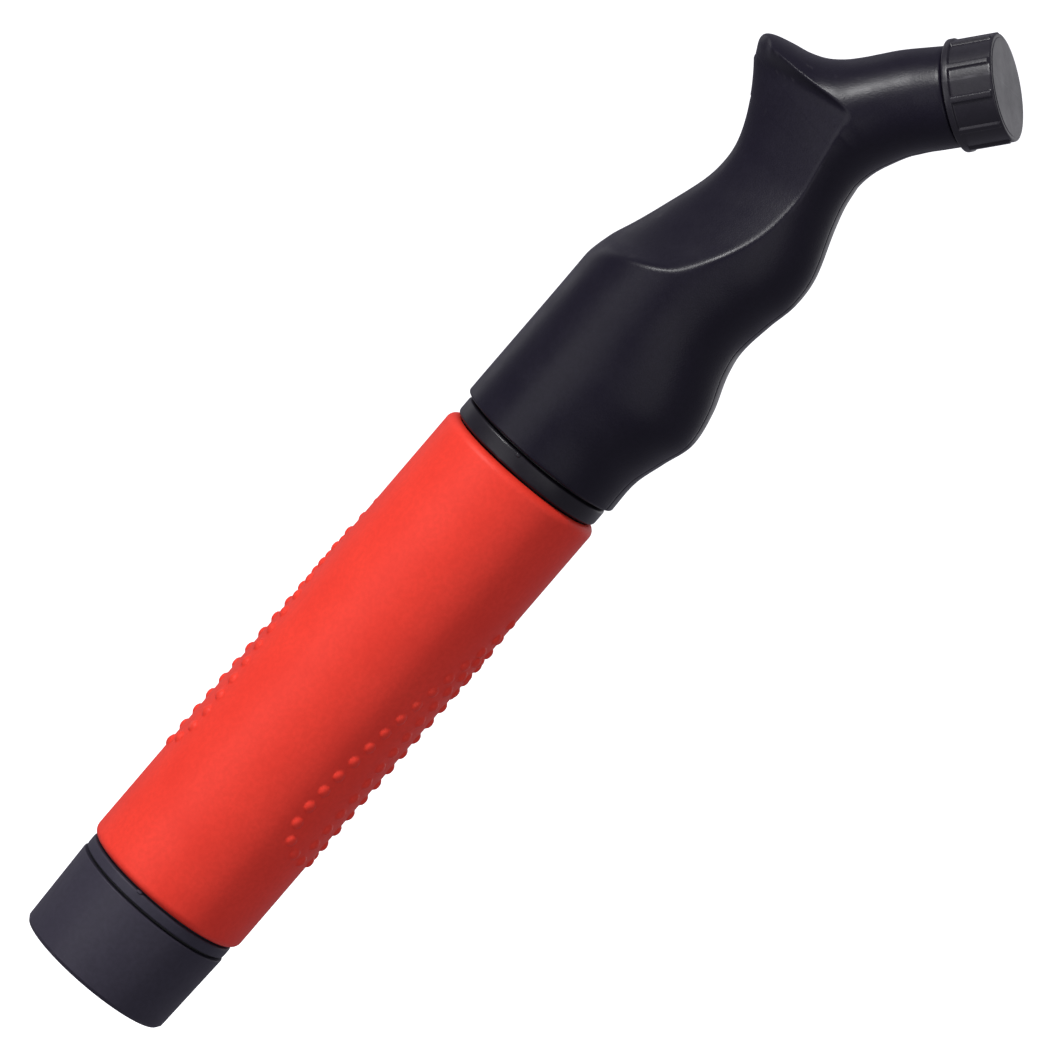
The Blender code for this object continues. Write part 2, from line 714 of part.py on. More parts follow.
def make_nozzle(shop):
    """The needle socket at the spout's end, and the rubber gland at the socket's bottom."""
    flange_low, flange_top = NOZZLE_FLANGE
    socket_floor = SOCKET_TOP - SOCKET_DEPTH
    turned_part(shop, "nozzle_body", [
        (SOCKET_THREAD_R, SOCKET_TOP),
        (SOCKET_THREAD_R, 0.3),
        (NOZZLE_NECK_R, 0.3),
        (NOZZLE_NECK_R, flange_top),
        (NOZZLE_FLANGE_R, flange_top),
        (NOZZLE_FLANGE_R, flange_low),
        (3.0, flange_low),
        (BARB_R, flange_low - 1.0),
        (BARB_R, BARB_LOW),
        (AIR_HOLE_R, BARB_LOW),
        (AIR_HOLE_R, socket_floor),
        (SOCKET_R, socket_floor),
        (SOCKET_R, SOCKET_TOP),
    ], "brass", STEPS_MIDDLE, shop.spout)
    turned_part(shop, "needle_gland", ring_outline(
        SOCKET_R - PART_GAP, AIR_HOLE_R - 0.2, socket_floor + PART_GAP, socket_floor + 1.8),
        "seal_rubber", STEPS_SMALL, shop.spout)


def make_nozzle_cap(shop):
    """The ribbed screw cap over the needle socket, with the sealing disc inside it."""
    low, high = NOZZLE_CAP
    floor = SOCKET_TOP + 1.25
    bore = SOCKET_THREAD_R + 0.3
    cap = turned_part(shop, "nozzle_cap", [
        (0.0, high),
        (NOZZLE_CAP_R - 0.35, high),
        (NOZZLE_CAP_R, high - 0.35),
        (NOZZLE_CAP_R, low + 1.2),
        (NOZZLE_CAP_RIM_R, low + 1.1),
        (NOZZLE_CAP_RIM_R, low + 0.2),
        (NOZZLE_CAP_RIM_R - 0.2, low),
        (bore, low),
        (bore, floor),
        (0.0, floor),
    ], "cap_plastic", STEPS_LARGE, shop.spout)
    rib_width = 0.9
    rib_depth = 1.2
    rib_low = low + 0.6
    rib_high = high - 0.3
    blocks = []
    for i in range(NOZZLE_CAP_RIBS):
        place = around(360.0 * i / NOZZLE_CAP_RIBS + NOZZLE_CAP_RIB_TURN,
                       NOZZLE_CAP_RIM_R - 0.08 - rib_depth / 2, (rib_low + rib_high) / 2)
        blocks.append((place, (rib_depth, rib_width, rib_high - rib_low)))
    ribs = shop.add_cutter("nozzle_cap_ribs", box_mesh("nozzle_cap_ribs", blocks), shop.spout)
    combine(cap, ribs, "UNION")
    turned_part(shop, "nozzle_cap_seal", rod_outline(
        SOCKET_THREAD_R, SOCKET_TOP + PART_GAP, floor - PART_GAP), "seal_rubber", STEPS_SMALL,
        shop.spout)


def make_plunger(shop):
    """The rod with its piston, cup seal, washers, nuts and rubber bumper."""
    rod_low = 10.2
    rod_step_low = 21.5
    rod_step_high = PISTON_LOW - PART_GAP
    rod_top = PISTON_LOW + 13.2
    turned_part(shop, "piston_rod", [
        (0.0, rod_top),
        (ROD_END_R, rod_top),
        (ROD_END_R, rod_step_high),
        (ROD_R, rod_step_high),
        (ROD_R, rod_step_low),
        (ROD_END_R, rod_step_low),
        (ROD_END_R, rod_low),
        (0.0, rod_low),
    ], "steel")

    end_bore = ROD_END_R + THREAD_GAP
    piston_top = PISTON_LOW + 5.8
    turned_part(shop, "piston_body", [
        (CYLINDER_BORE_R - 0.2, piston_top),
        (CYLINDER_BORE_R - 0.2, PISTON_LOW + 3.8),
        (CYLINDER_BORE_R - 1.4, PISTON_LOW + 3.8),
        (CYLINDER_BORE_R - 1.4, PISTON_LOW + 2.0),
        (CYLINDER_BORE_R - 0.2, PISTON_LOW + 2.0),
        (CYLINDER_BORE_R - 0.2, PISTON_LOW),
        (end_bore, PISTON_LOW),
        (end_bore, piston_top),
    ], "bearing_plastic", STEPS_MIDDLE)

    cup_low = piston_top + PART_GAP
    turned_part(shop, "piston_cup_seal", [
        (CYLINDER_BORE_R - 0.08, cup_low + 4.4),
        (CYLINDER_BORE_R - 0.6, cup_low),
        (end_bore, cup_low),
        (end_bore, cup_low + 1.4),
        (CYLINDER_BORE_R - 1.9, cup_low + 1.4),
        (CYLINDER_BORE_R - 0.9, cup_low + 4.4),
    ], "seal_rubber", STEPS_LARGE)
    washer_low = cup_low + 1.6
    turned_part(shop, "piston_washer", ring_outline(5.6, end_bore, washer_low, washer_low + 1.0),
                "steel")
    nut_low = washer_low + 1.2
    hex_nut(shop, "piston_nut", 7.0, end_bore, nut_low, nut_low + 3.2, "steel")
    bumper_top = PISTON_LOW - 0.5
    turned_part(shop, "rod_bumper", ring_outline(5.8, ROD_R + 0.2, bumper_top - 2.2, bumper_top),
                "seal_rubber")


def make_handle(shop):
    """The handle tube with its grip, top ring, guide bush and end plug."""
    spigot_r = 11.5
    spigot_bore = 10.3
    spigot_low = 7.0
    plug_seat = 15.2
    turned_part(shop, "handle_tube", [
        (TUBE_R, GRIP_TOP - 0.6),
        (TUBE_R, FLANGE_TOP),
        (FLANGE_R - 0.25, FLANGE_TOP),
        (FLANGE_R, FLANGE_TOP - 0.25),
        (FLANGE_R, FLANGE_LOW + 0.25),
        (FLANGE_R - 0.25, FLANGE_LOW),
        (spigot_r, FLANGE_LOW),
        (spigot_r, spigot_low),
        (spigot_bore, spigot_low),
        (spigot_bore, plug_seat),
        (TUBE_BORE_R, plug_seat),
        (TUBE_BORE_R, GRIP_TOP - 0.6),
    ], "ring_plastic", STEPS_LARGE)

    round_r = 1.4
    outline = [(GRIP_BORE_R, GRIP_TOP)]
    outline += corner((GRIP_R - round_r, GRIP_TOP - round_r), round_r, 90.0, 0.0)
    outline += corner((GRIP_R - round_r, GRIP_LOW + round_r), round_r, 0.0, -90.0)
    outline += [(GRIP_BORE_R, GRIP_LOW)]
    turned_part(shop, "grip_sleeve", outline, "grip_rubber", STEPS_LARGE)

    make_top_ring(shop)
    turned_part(shop, "guide_bush", ring_outline(
        TUBE_BORE_R - PART_GAP, CYLINDER_R + ROD_FIT, 88.0, 93.2), "bearing_plastic", STEPS_LARGE)
    turned_part(shop, "end_plug", ring_outline(
        TUBE_BORE_R - PART_GAP, ROD_END_R + ROD_FIT, plug_seat + PART_GAP, 20.6), "cap_plastic",
        STEPS_SMALL)


def make_top_ring(shop):
    """The black ring over the grip, with the bayonet's spigot and its two lugs."""
    edge = 0.5
    neck_bore = CYLINDER_R + 0.35
    ring = turned_part(shop, "top_ring", [
        (SPIGOT_R, SPIGOT_TOP),
        (SPIGOT_R, TOP_RING_TOP),
        (TOP_RING_R - edge, TOP_RING_TOP),
        (TOP_RING_R - 0.15, TOP_RING_TOP - 0.2),
        (TOP_RING_R, TOP_RING_TOP - edge),
        (TOP_RING_R, TOP_RING_LOW + edge),
        (TOP_RING_R - edge, TOP_RING_LOW),
        (TUBE_BORE_R - PART_GAP, TOP_RING_LOW),
        (TUBE_BORE_R - PART_GAP, 93.5),
        (neck_bore, 93.5),
        (neck_bore, SPIGOT_TOP),
    ], "ring_plastic", STEPS_LARGE)
    lug_depth = 1.2
    lug_height = LUG_Z[1] - LUG_Z[0]
    lugs = [(around(side, LUG_REACH - lug_depth / 2, sum(LUG_Z) / 2),
             (lug_depth, LUG_WIDTH, lug_height)) for side in (-90.0, 90.0)]
    lug_cutter = shop.add_cutter("bayonet_lugs", box_mesh("bayonet_lugs", lugs))
    combine(ring, lug_cutter, "UNION")


def make_rod_fastening(shop):
    """The washers and the lock nut that tie the rod to the handle's end plug."""
    end_bore = ROD_END_R + THREAD_GAP
    turned_part(shop, "rod_shoulder_washer", ring_outline(4.6, end_bore, 20.8, 21.3), "steel")
    turned_part(shop, "rod_end_washer", ring_outline(4.6, end_bore, 14.6, 15.2), "steel")
    hex_nut(shop, "rod_lock_nut", 7.0, end_bore, 11.2, 14.4, "steel")


def make_base_cap(shop):
    """The screw cap that the pump stands on, and the gasket in the groove above it."""
    floor = 1.8
    bore = 11.75
    edge = 1.2
    rim_edge = 0.25
    outline = [
        (0.0, floor),
        (bore, floor),
        (bore, BASE_CAP_TOP),
        (BASE_CAP_R_HIGH - rim_edge, BASE_CAP_TOP),
        (BASE_CAP_R_HIGH, BASE_CAP_TOP - rim_edge),
    ]
    outline += corner((BASE_CAP_R_LOW - edge, edge), edge, 0.0, -90.0)
    outline.append((0.0, 0.0))
    turned_part(shop, "base_cap", outline, "cap_plastic", STEPS_LARGE)
    turned_part(shop, "base_cap_gasket", ring_outline(
        12.6, 11.7, BASE_CAP_TOP + PART_GAP, FLANGE_LOW - PART_GAP), "seal_rubber", STEPS_LARGE)


def main():
    clear_scene()
    shop = Workshop()
    head_cutters = make_head_cutters(shop)
    left_shell = make_head_shell(shop, "head_shell_left", -1, head_cutters)
    right_shell = make_head_shell(shop, "head_shell_right", 1, head_cutters)
    make_casing_screws(shop, left_shell, right_shell)
    make_cylinder(shop)
    make_cylinder_end(shop)
    make_valve(shop)
    make_hose(shop)
    make_nozzle(shop)
    make_nozzle_cap(shop)
    make_plunger(shop)
    make_handle(shop)
    make_rod_fastening(shop)
    make_base_cap(shop)


main()
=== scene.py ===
"""The looks of the ball inflation pump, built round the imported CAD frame.

The visible shells are rebuilt here as fine meshes: the two halves of the head with the thumb
scoop, the dotted grip, the rings, both screw caps and the threaded ends. Lengths are in
millimetres and MM turns them into the frame's metres.
"""

import json
import math

import bmesh
import bpy
import numpy as np
from mathutils import Matrix, Vector

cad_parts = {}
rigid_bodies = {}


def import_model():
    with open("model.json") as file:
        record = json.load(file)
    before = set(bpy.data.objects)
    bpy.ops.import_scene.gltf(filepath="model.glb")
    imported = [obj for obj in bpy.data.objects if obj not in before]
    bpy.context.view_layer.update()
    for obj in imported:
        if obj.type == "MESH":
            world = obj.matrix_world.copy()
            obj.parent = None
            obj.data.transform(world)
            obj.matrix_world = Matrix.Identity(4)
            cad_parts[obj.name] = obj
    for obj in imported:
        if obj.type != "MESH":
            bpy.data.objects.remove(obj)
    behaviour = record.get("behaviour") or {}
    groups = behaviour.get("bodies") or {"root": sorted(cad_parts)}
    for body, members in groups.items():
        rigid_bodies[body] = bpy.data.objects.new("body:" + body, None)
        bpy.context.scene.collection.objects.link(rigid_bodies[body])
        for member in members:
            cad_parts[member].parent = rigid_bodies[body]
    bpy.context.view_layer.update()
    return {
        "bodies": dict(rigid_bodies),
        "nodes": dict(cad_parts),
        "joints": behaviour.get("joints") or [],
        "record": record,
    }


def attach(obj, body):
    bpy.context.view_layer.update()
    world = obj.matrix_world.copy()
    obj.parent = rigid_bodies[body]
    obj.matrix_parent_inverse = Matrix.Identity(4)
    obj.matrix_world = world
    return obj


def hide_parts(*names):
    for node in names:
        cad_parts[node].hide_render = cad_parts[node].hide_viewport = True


MM = 0.001
MERGE_DISTANCE = 0.0005

# The head below the bend: height, then the distance from the axis to its front, its back or its
# sides.
HEAD_LOW = 103.0
FRONT_LINE = [(103.0, 13.7), (108.5, 13.75), (113.5, 15.2), (118.5, 16.75), (124.0, 15.9),
              (129.5, 13.8), (133.5, 13.1), (139.0, 13.8), (144.0, 14.8), (149.0, 14.45),
              (156.0, 11.85), (159.7, 10.7), (163.0, 10.2)]
BACK_LINE = [(103.0, 13.8), (131.0, 13.85), (150.0, 14.8), (163.0, 15.7)]
SIDE_LINE = [(103.0, 13.8), (125.0, 13.7), (145.0, 12.3), (163.0, 10.6)]

# The bend: sections fan out about a pivot in front of the head, given as X and Z. The fan's angle,
# then distances from the pivot to the underside, to the middle and to the back, and the half width.
PIVOT = (33.0, 163.0)
BEND = [(0.0, 22.8, 33.0, 48.7, 10.6), (3.0, 22.75, 32.9, 48.9, 10.5),
        (6.0, 22.65, 32.6, 49.2, 10.3), (7.7, 22.56, 32.3, 49.3, 10.1),
        (8.8, 22.5, 32.1, 49.2, 10.0), (9.9, 22.42, 31.9, 48.8, 9.9),
        (10.9, 22.35, 31.6, 47.7, 9.8), (12.3, 22.24, 31.3, 45.5, 9.6),
        (14.0, 22.1, 31.0, 42.8, 9.4), (16.5, 21.92, 30.6, 40.4, 9.2),
        (20.0, 21.72, 30.0, 38.65, 8.8), (24.0, 21.5, 29.4, 37.6, 8.4),
        (28.0, 21.2, 28.9, 37.0, 8.1), (32.0, 21.0, 28.5, 36.6, 7.9),
        (36.0, 20.8, 28.3, 36.2, 7.7)]
SPOUT_LEAN = 40.0
SPOUT_END = (12.984, 182.974)
SPOUT_END_R = 7.5

# The seam between the head's halves: each half stops this gap short of the middle, and a shallow
# groove runs along it.
SEAM_GAP = 0.05
SEAM_GROOVE_DEPTH = 0.07
SEAM_GROOVE_HALF_WIDTH = 0.35

# The thumb scoop is made of parabolas in planes that rise towards the front. Where a plane crosses
# the axis, then the parabola's distance behind the axis, or its curvature. Under the lowest plane
# the scoop leaves the head at the run-out slope.
SCOOP_TILT = 12.0
SCOOP_RUN_OUT = 1.2
SCOOP_RIDGE = [(131.0, 16.0), (134.0, 14.0), (136.8, 13.2), (140.5, 11.6), (145.1, 9.9),
               (150.7, 8.0), (154.1, 7.5), (157.7, 7.8), (162.0, 9.35), (166.4, 11.75),
               (170.5, 14.55), (173.0, 16.8), (176.0, 19.8), (180.0, 24.0)]
SCOOP_CURVE = [(131.0, 0.035), (134.4, 0.041), (135.6, 0.058), (137.0, 0.086), (141.3, 0.115),
               (146.1, 0.147), (152.0, 0.190), (156.6, 0.232), (161.7, 0.240), (167.0, 0.230),
               (170.2, 0.238), (172.2, 0.150), (174.0, 0.125), (176.0, 0.110), (180.0, 0.100)]
# How round the scoop's edge is, by height: soft where it runs out, crisp between.
SCOOP_EDGE = [(131.0, 1.2), (134.0, 1.2), (136.5, 0.9), (139.0, 0.6), (145.0, 0.45), (158.0, 0.4),
              (172.0, 0.4), (176.0, 0.8)]
# The horn over the scoop is rounder still, within a reach of its middle, given as X and Z.
HORN_EDGE = 4.2
HORN_MIDDLE = (-15.5, 170.8)
HORN_REACH = 4.6

# The grip, and its raised dots in two long drops. Height, then the drop's half width.
GRIP_R = 13.8
GRIP_BORE_R = 12.3
GRIP_LOW = 16.5
GRIP_HIGH = 99.3
GRIP_FILLET = 1.35
GRIP_TURN = 4.5
DROP_OUTLINE = [(34.0, 2.2), (34.6, 5.0), (36.2, 7.8), (39.0, 9.2), (42.0, 9.4), (48.0, 9.0),
                (54.0, 8.1), (60.0, 7.1), (66.0, 5.6), (72.0, 3.4), (78.0, 0.7)]
DROP_MIDDLE = [(37.2, 2.4), (64.0, 2.4), (73.5, 0.9)]
DOT_PITCH = 3.1
DOT_R = 0.96
DOT_HEIGHT = 0.48
DOT_ROUNDNESS = 0.6

# The casing screws in the +Y half: X, Z and the Y of the seat under the head.
SCREWS = [(12.6, 119.0, 4.6), (-10.8, 124.6, 3.2), (10.4, 145.0, 4.8), (6.2, 165.2, 4.3)]
SCREW_GAP = 0.2
SCREW_HEAD_R = 2.3
SCREW_HEAD_H = 1.5
SCREW_R = 1.15
SCREW_LENGTH = 9.2

# The bayonet's two lugs stand on the top ring and enter slots in the head.
LUG_ANGLES = (-90.0, 90.0)

CAP_RIBS = 10
CAP_RIB_TURN = 32.0
CAP_RIB_R = 8.38

# The threads of the base cap, the nozzle cap and the needle: pitch and depth. The depth is below
# zero in the needle's bore, where a cut goes outwards.
BASE_THREAD = (3.2, 0.35)
NOZZLE_THREAD = (1.5, 0.32)
NEEDLE_THREAD = (0.75, -0.2)
HANDLE_THREAD_R = 11.5
SOCKET_R = 6.2
SOCKET_BORE_R = 3.95

# Moulded finishes: colour, mottled tint, roughness, grain (features to the metre), grain depth in
# mm, the colour of rubbed edges, specular level and clear coat.
MOULDED = {
    "head_plastic": ((0.0052, 0.0038, 0.0108), (0.0070, 0.0056, 0.0122), 0.36, 2600.0, 0.035,
                     (0.022, 0.020, 0.027), 0.23, 0.0),
    "ring_plastic": ((0.0085, 0.0068, 0.0110), (0.0105, 0.0088, 0.0125), 0.36, 1800.0, 0.015,
                     (0.040, 0.037, 0.044), 0.3, 0.0),
    "cap_plastic": ((0.0300, 0.0268, 0.0410), (0.0340, 0.0305, 0.0440), 0.52, 2200.0, 0.02,
                    (0.070, 0.066, 0.080), 0.22, 0.0),
    "nozzle_plastic": ((0.0110, 0.0095, 0.0150), (0.0140, 0.0125, 0.0175), 0.34, 2200.0, 0.02,
                       (0.055, 0.052, 0.060), 0.36, 0.0),
    "grip_rubber": ((0.780, 0.036, 0.019), (0.820, 0.043, 0.023), 0.52, 2400.0, 0.02,
                    (0.840, 0.080, 0.055), 0.25, 0.0),
    "seal_rubber": ((0.0150, 0.0150, 0.0150), (0.0200, 0.0200, 0.0200), 0.62, 1600.0, 0.02,
                    (0.035, 0.035, 0.035), 0.4, 0.0),
    "cylinder_plastic": ((0.0300, 0.0300, 0.0330), (0.0360, 0.0360, 0.0380), 0.28, 1200.0, 0.01,
                         (0.060, 0.060, 0.064), 0.5, 0.15),
    "bearing_plastic": ((0.700, 0.690, 0.640), (0.660, 0.650, 0.590), 0.42, 1500.0, 0.02,
                        (0.760, 0.750, 0.710), 0.5, 0.0),
    "hose_rubber": ((0.0400, 0.0400, 0.0440), (0.0500, 0.0500, 0.0540), 0.5, 1500.0, 0.02,
                    (0.080, 0.080, 0.084), 0.45, 0.0),
}
# Machined finishes: colour, tarnished colour, roughness and the stretch of the tool marks.
MACHINED = {
    "steel": ((0.640, 0.640, 0.655), (0.430, 0.425, 0.420), 0.27, (1.0, 1.0, 9.0)),
    "brass": ((0.800, 0.610, 0.300), (0.560, 0.390, 0.170), 0.27, (1.0, 1.0, 9.0)),
}

# The camera, in degrees and millimetres. It looks at a point beside the axis, LOOK_REACH to the
# right at LOOK_HEIGHT.
CAMERA_AZIMUTH = 17.884
CAMERA_ELEVATION = 8.058
CAMERA_ROLL = 40.649
CAMERA_DISTANCE = 1500.0
CAMERA_LENS = 347.1
LOOK_REACH = 5.915
LOOK_HEIGHT = 93.104

# The soft boxes in metres from the point looked at: to the camera's right, up and towards it, then
# width, height and power in watts.
LIGHTS = {
    "key": (-0.30, 0.84, 0.64, 0.18, 0.18, 9.3),
    "fill": (-0.90, 0.05, 0.75, 0.9, 0.9, 3.6),
    "front": (0.45, -0.20, 1.00, 0.9, 0.9, 2.2),
    "right_edge": (0.65, 0.05, -0.85, 0.6, 0.9, 1.0),
    "left_edge": (-0.50, 0.75, -0.80, 0.5, 0.8, 0.6),
}
# The floor lies lower than the handle reaches at its full stroke. Both in metres.
FLOOR_Z = -0.09
FLOOR_HALF_WIDTH = 6


# ---------------------------------------------------------------- shapes

def interpolate(stations, position):
    """A smooth curve through (position, value...) stations."""
    table = np.array(stations, float)
    where = table[:, 0]
    values = table[:, 1:]
    position = np.clip(np.atleast_1d(np.asarray(position, float)), where[0], where[-1])
    slopes = np.empty_like(values)
    slopes[1:-1] = (values[2:] - values[:-2]) / (where[2:] - where[:-2])[:, None]
    slopes[0] = (values[1] - values[0]) / (where[1] - where[0])
    slopes[-1] = (values[-1] - values[-2]) / (where[-1] - where[-2])
    index = np.clip(np.searchsorted(where, position, side="right") - 1, 0, len(where) - 2)
    span = (where[index + 1] - where[index])[:, None]
    t = (position[:, None] - where[index][:, None]) / span
    result = ((2 * t ** 3 - 3 * t ** 2 + 1) * values[index]
              + (t ** 3 - 2 * t ** 2 + t) * span * slopes[index]
              + (3 * t ** 2 - 2 * t ** 3) * values[index + 1]
              + (t ** 3 - t ** 2) * span * slopes[index + 1])
    return result[:, 0] if result.shape[1] == 1 else result


def smooth_step(low, high, value):
    """0 below low, 1 above high, and smooth between."""
    t = np.clip((value - low) / (high - low), 0.0, 1.0)
    return t * t * (3 - 2 * t)


def soft_minimum(a, b, reach):
    """The smaller of two values, rounded over where they cross."""
    blend = np.clip(reach - np.abs(a - b), 0.0, None) / reach
    return np.minimum(a, b) - blend ** 2 * reach / 4


def weld(mesh, drop_slivers=False):
    """Touching points merged and normals turned out; slivers would upset a cut."""
    work = bmesh.new()
    work.from_mesh(mesh)
    bmesh.ops.remove_doubles(work, verts=work.verts, dist=MERGE_DISTANCE)
    if drop_slivers:
        bmesh.ops.dissolve_degenerate(work, edges=work.edges, dist=0.0001)
    bmesh.ops.recalc_face_normals(work, faces=work.faces)
    work.to_mesh(mesh)
    work.free()


def finish_mesh(mesh, sharp_angle):
    """Outward normals, millimetres to metres, and smooth shading with sharp edges kept."""
    weld(mesh)
    mesh.transform(Matrix.Scale(MM, 4))
    mesh.shade_smooth()
    mesh.set_sharp_from_angle(angle=math.radians(sharp_angle))


def grid_mesh(name, rows, capped=False):
    """A skin over an array of rows of points, each row closed into a ring."""
    count, steps = rows.shape[:2]
    mesh = bpy.data.meshes.new(name)
    faces = []
    for i in range(count - 1):
        for j in range(steps):
            k = (j + 1) % steps
            faces.append((i * steps + j, i * steps + k, (i + 1) * steps + k, (i + 1) * steps + j))
    if capped:
        faces.append(tuple(range(steps)))
        faces.append(tuple((count - 1) * steps + j for j in range(steps)))
    mesh.from_pydata(rows.reshape(-1, 3).tolist(), [], faces)
    return mesh


def rounded(points, closed, segments):
    """A profile of (radius, height, fillet) corners with each corner rounded off."""
    result = []
    count = len(points)
    for i, (x, z, fillet) in enumerate(points):
        corner = np.array((x, z), float)
        if fillet <= 0.0 or (not closed and i in (0, count - 1)):
            result.append(tuple(corner))
            continue
        before = np.array(points[i - 1][:2], float) - corner
        after = np.array(points[(i + 1) % count][:2], float) - corner
        before /= np.linalg.norm(before)
        after /= np.linalg.norm(after)
        half = math.acos(np.clip(before @ after, -1.0, 1.0)) / 2
        middle = before + after
        centre = corner + middle / np.linalg.norm(middle) * fillet / math.sin(half)
        start = corner + before * fillet / math.tan(half) - centre
        end = corner + after * fillet / math.tan(half) - centre
        sweep = math.pi - 2 * half
        turn = math.copysign(1.0, start[0] * end[1] - start[1] * end[0])
        for k in range(segments + 1):
            angle = turn * sweep * k / segments
            cos, sin = math.cos(angle), math.sin(angle)
            result.append((centre[0] + start[0] * cos - start[1] * sin,
                           centre[1] + start[0] * sin + start[1] * cos))
    return result


def subdivide(profile, longest):
    """Extra points on a profile's long straight runs."""
    result = [profile[0]]
    for a, b in zip(profile, profile[1:]):
        pieces = max(1, math.ceil(math.dist(a, b) / longest))
        for k in range(1, pieces + 1):
            result.append((a[0] + (b[0] - a[0]) * k / pieces, a[1] + (b[1] - a[1]) * k / pieces))
    return result


def lathe_rows(profile, steps, relief):
    """Rows of points for a turned shape. relief gives how far each point moves outwards."""
    angles = np.linspace(0.0, 2 * math.pi, steps, endpoint=False)
    profile = np.array(profile, float)
    radius = np.repeat(profile[:, 0][:, None], steps, axis=1)
    height = np.repeat(profile[:, 1][:, None], steps, axis=1)
    if relief is not None:
        radius = radius + relief(np.repeat(angles[None, :], len(profile), axis=0), height, radius)
    return np.stack([radius * np.cos(angles), radius * np.sin(angles), height], axis=2)


def lathe(name, points, steps=128, closed=True, relief=None, longest=None, segments=5):
    """A turned mesh from rounded corners. An open profile starts and ends on the axis."""
    profile = rounded(points, closed, segments)
    if closed:
        profile.append(profile[0])
    if longest is not None:
        profile = subdivide(profile, longest)
    return grid_mesh(name, lathe_rows(profile, steps, relief))


def rounded_block(name, size, edge, place):
    """A block with rounded edges, to be joined to a turned piece."""
    mesh = bpy.data.meshes.new(name)
    work = bmesh.new()
    bmesh.ops.create_cube(work, size=1.0, matrix=Matrix.Diagonal((*size, 1.0)))
    bmesh.ops.bevel(work, geom=work.edges[:] + work.verts[:], offset=edge, segments=3,
                    affect="EDGES", profile=0.5)
    work.transform(place)
    work.to_mesh(mesh)
    work.free()
    return mesh


def join_meshes(name, meshes):
    """Several meshes as one."""
    work = bmesh.new()
    for mesh in meshes:
        work.from_mesh(mesh)
    joined = bpy.data.meshes.new(name)
    work.to_mesh(joined)
    work.free()
    for mesh in meshes:
        bpy.data.meshes.remove(mesh)
    return joined


def cut_mesh(mesh, cutters):
    """A closed mesh with closed cutters taken away."""
    for item in (mesh, *cutters):
        weld(item, drop_slivers=True)
    body = bpy.data.objects.new("cut_body", mesh)
    bpy.context.scene.collection.objects.link(body)
    tools = []
    for cutter in cutters:
        tool = bpy.data.objects.new("cut_tool", cutter)
        bpy.context.scene.collection.objects.link(tool)
        step = body.modifiers.new("cut", "BOOLEAN")
        step.operation = "DIFFERENCE"
        step.solver = "MANIFOLD"
        step.object = tool
        tools.append(tool)
    evaluated = body.evaluated_get(bpy.context.evaluated_depsgraph_get())
    result = bpy.data.meshes.new_from_object(evaluated)
    for item in [body, *tools]:
        bpy.data.objects.remove(item)
    return result


def around(angle, radius, height):
    """A frame at an angle round the Z axis: its X points outwards."""
    return (Matrix.Rotation(math.radians(angle), 4, "Z")
            @ Matrix.Translation((radius, 0.0, height)))


def across_frame(x, z):
    """A frame whose Z runs along the pump's Y, for the casing screws."""
    return Matrix.Translation((x, 0.0, z)) @ Matrix.Rotation(-math.pi / 2, 4, "X")


def spout_frame():
    """The frame on the spout's end face, with Z running out of the spout, in millimetres."""
    return (Matrix.Translation((SPOUT_END[0], 0.0, SPOUT_END[1]))
            @ Matrix.Rotation(math.radians(SPOUT_LEAN), 4, "Y"))


# ---------------------------------------------------------------- materials

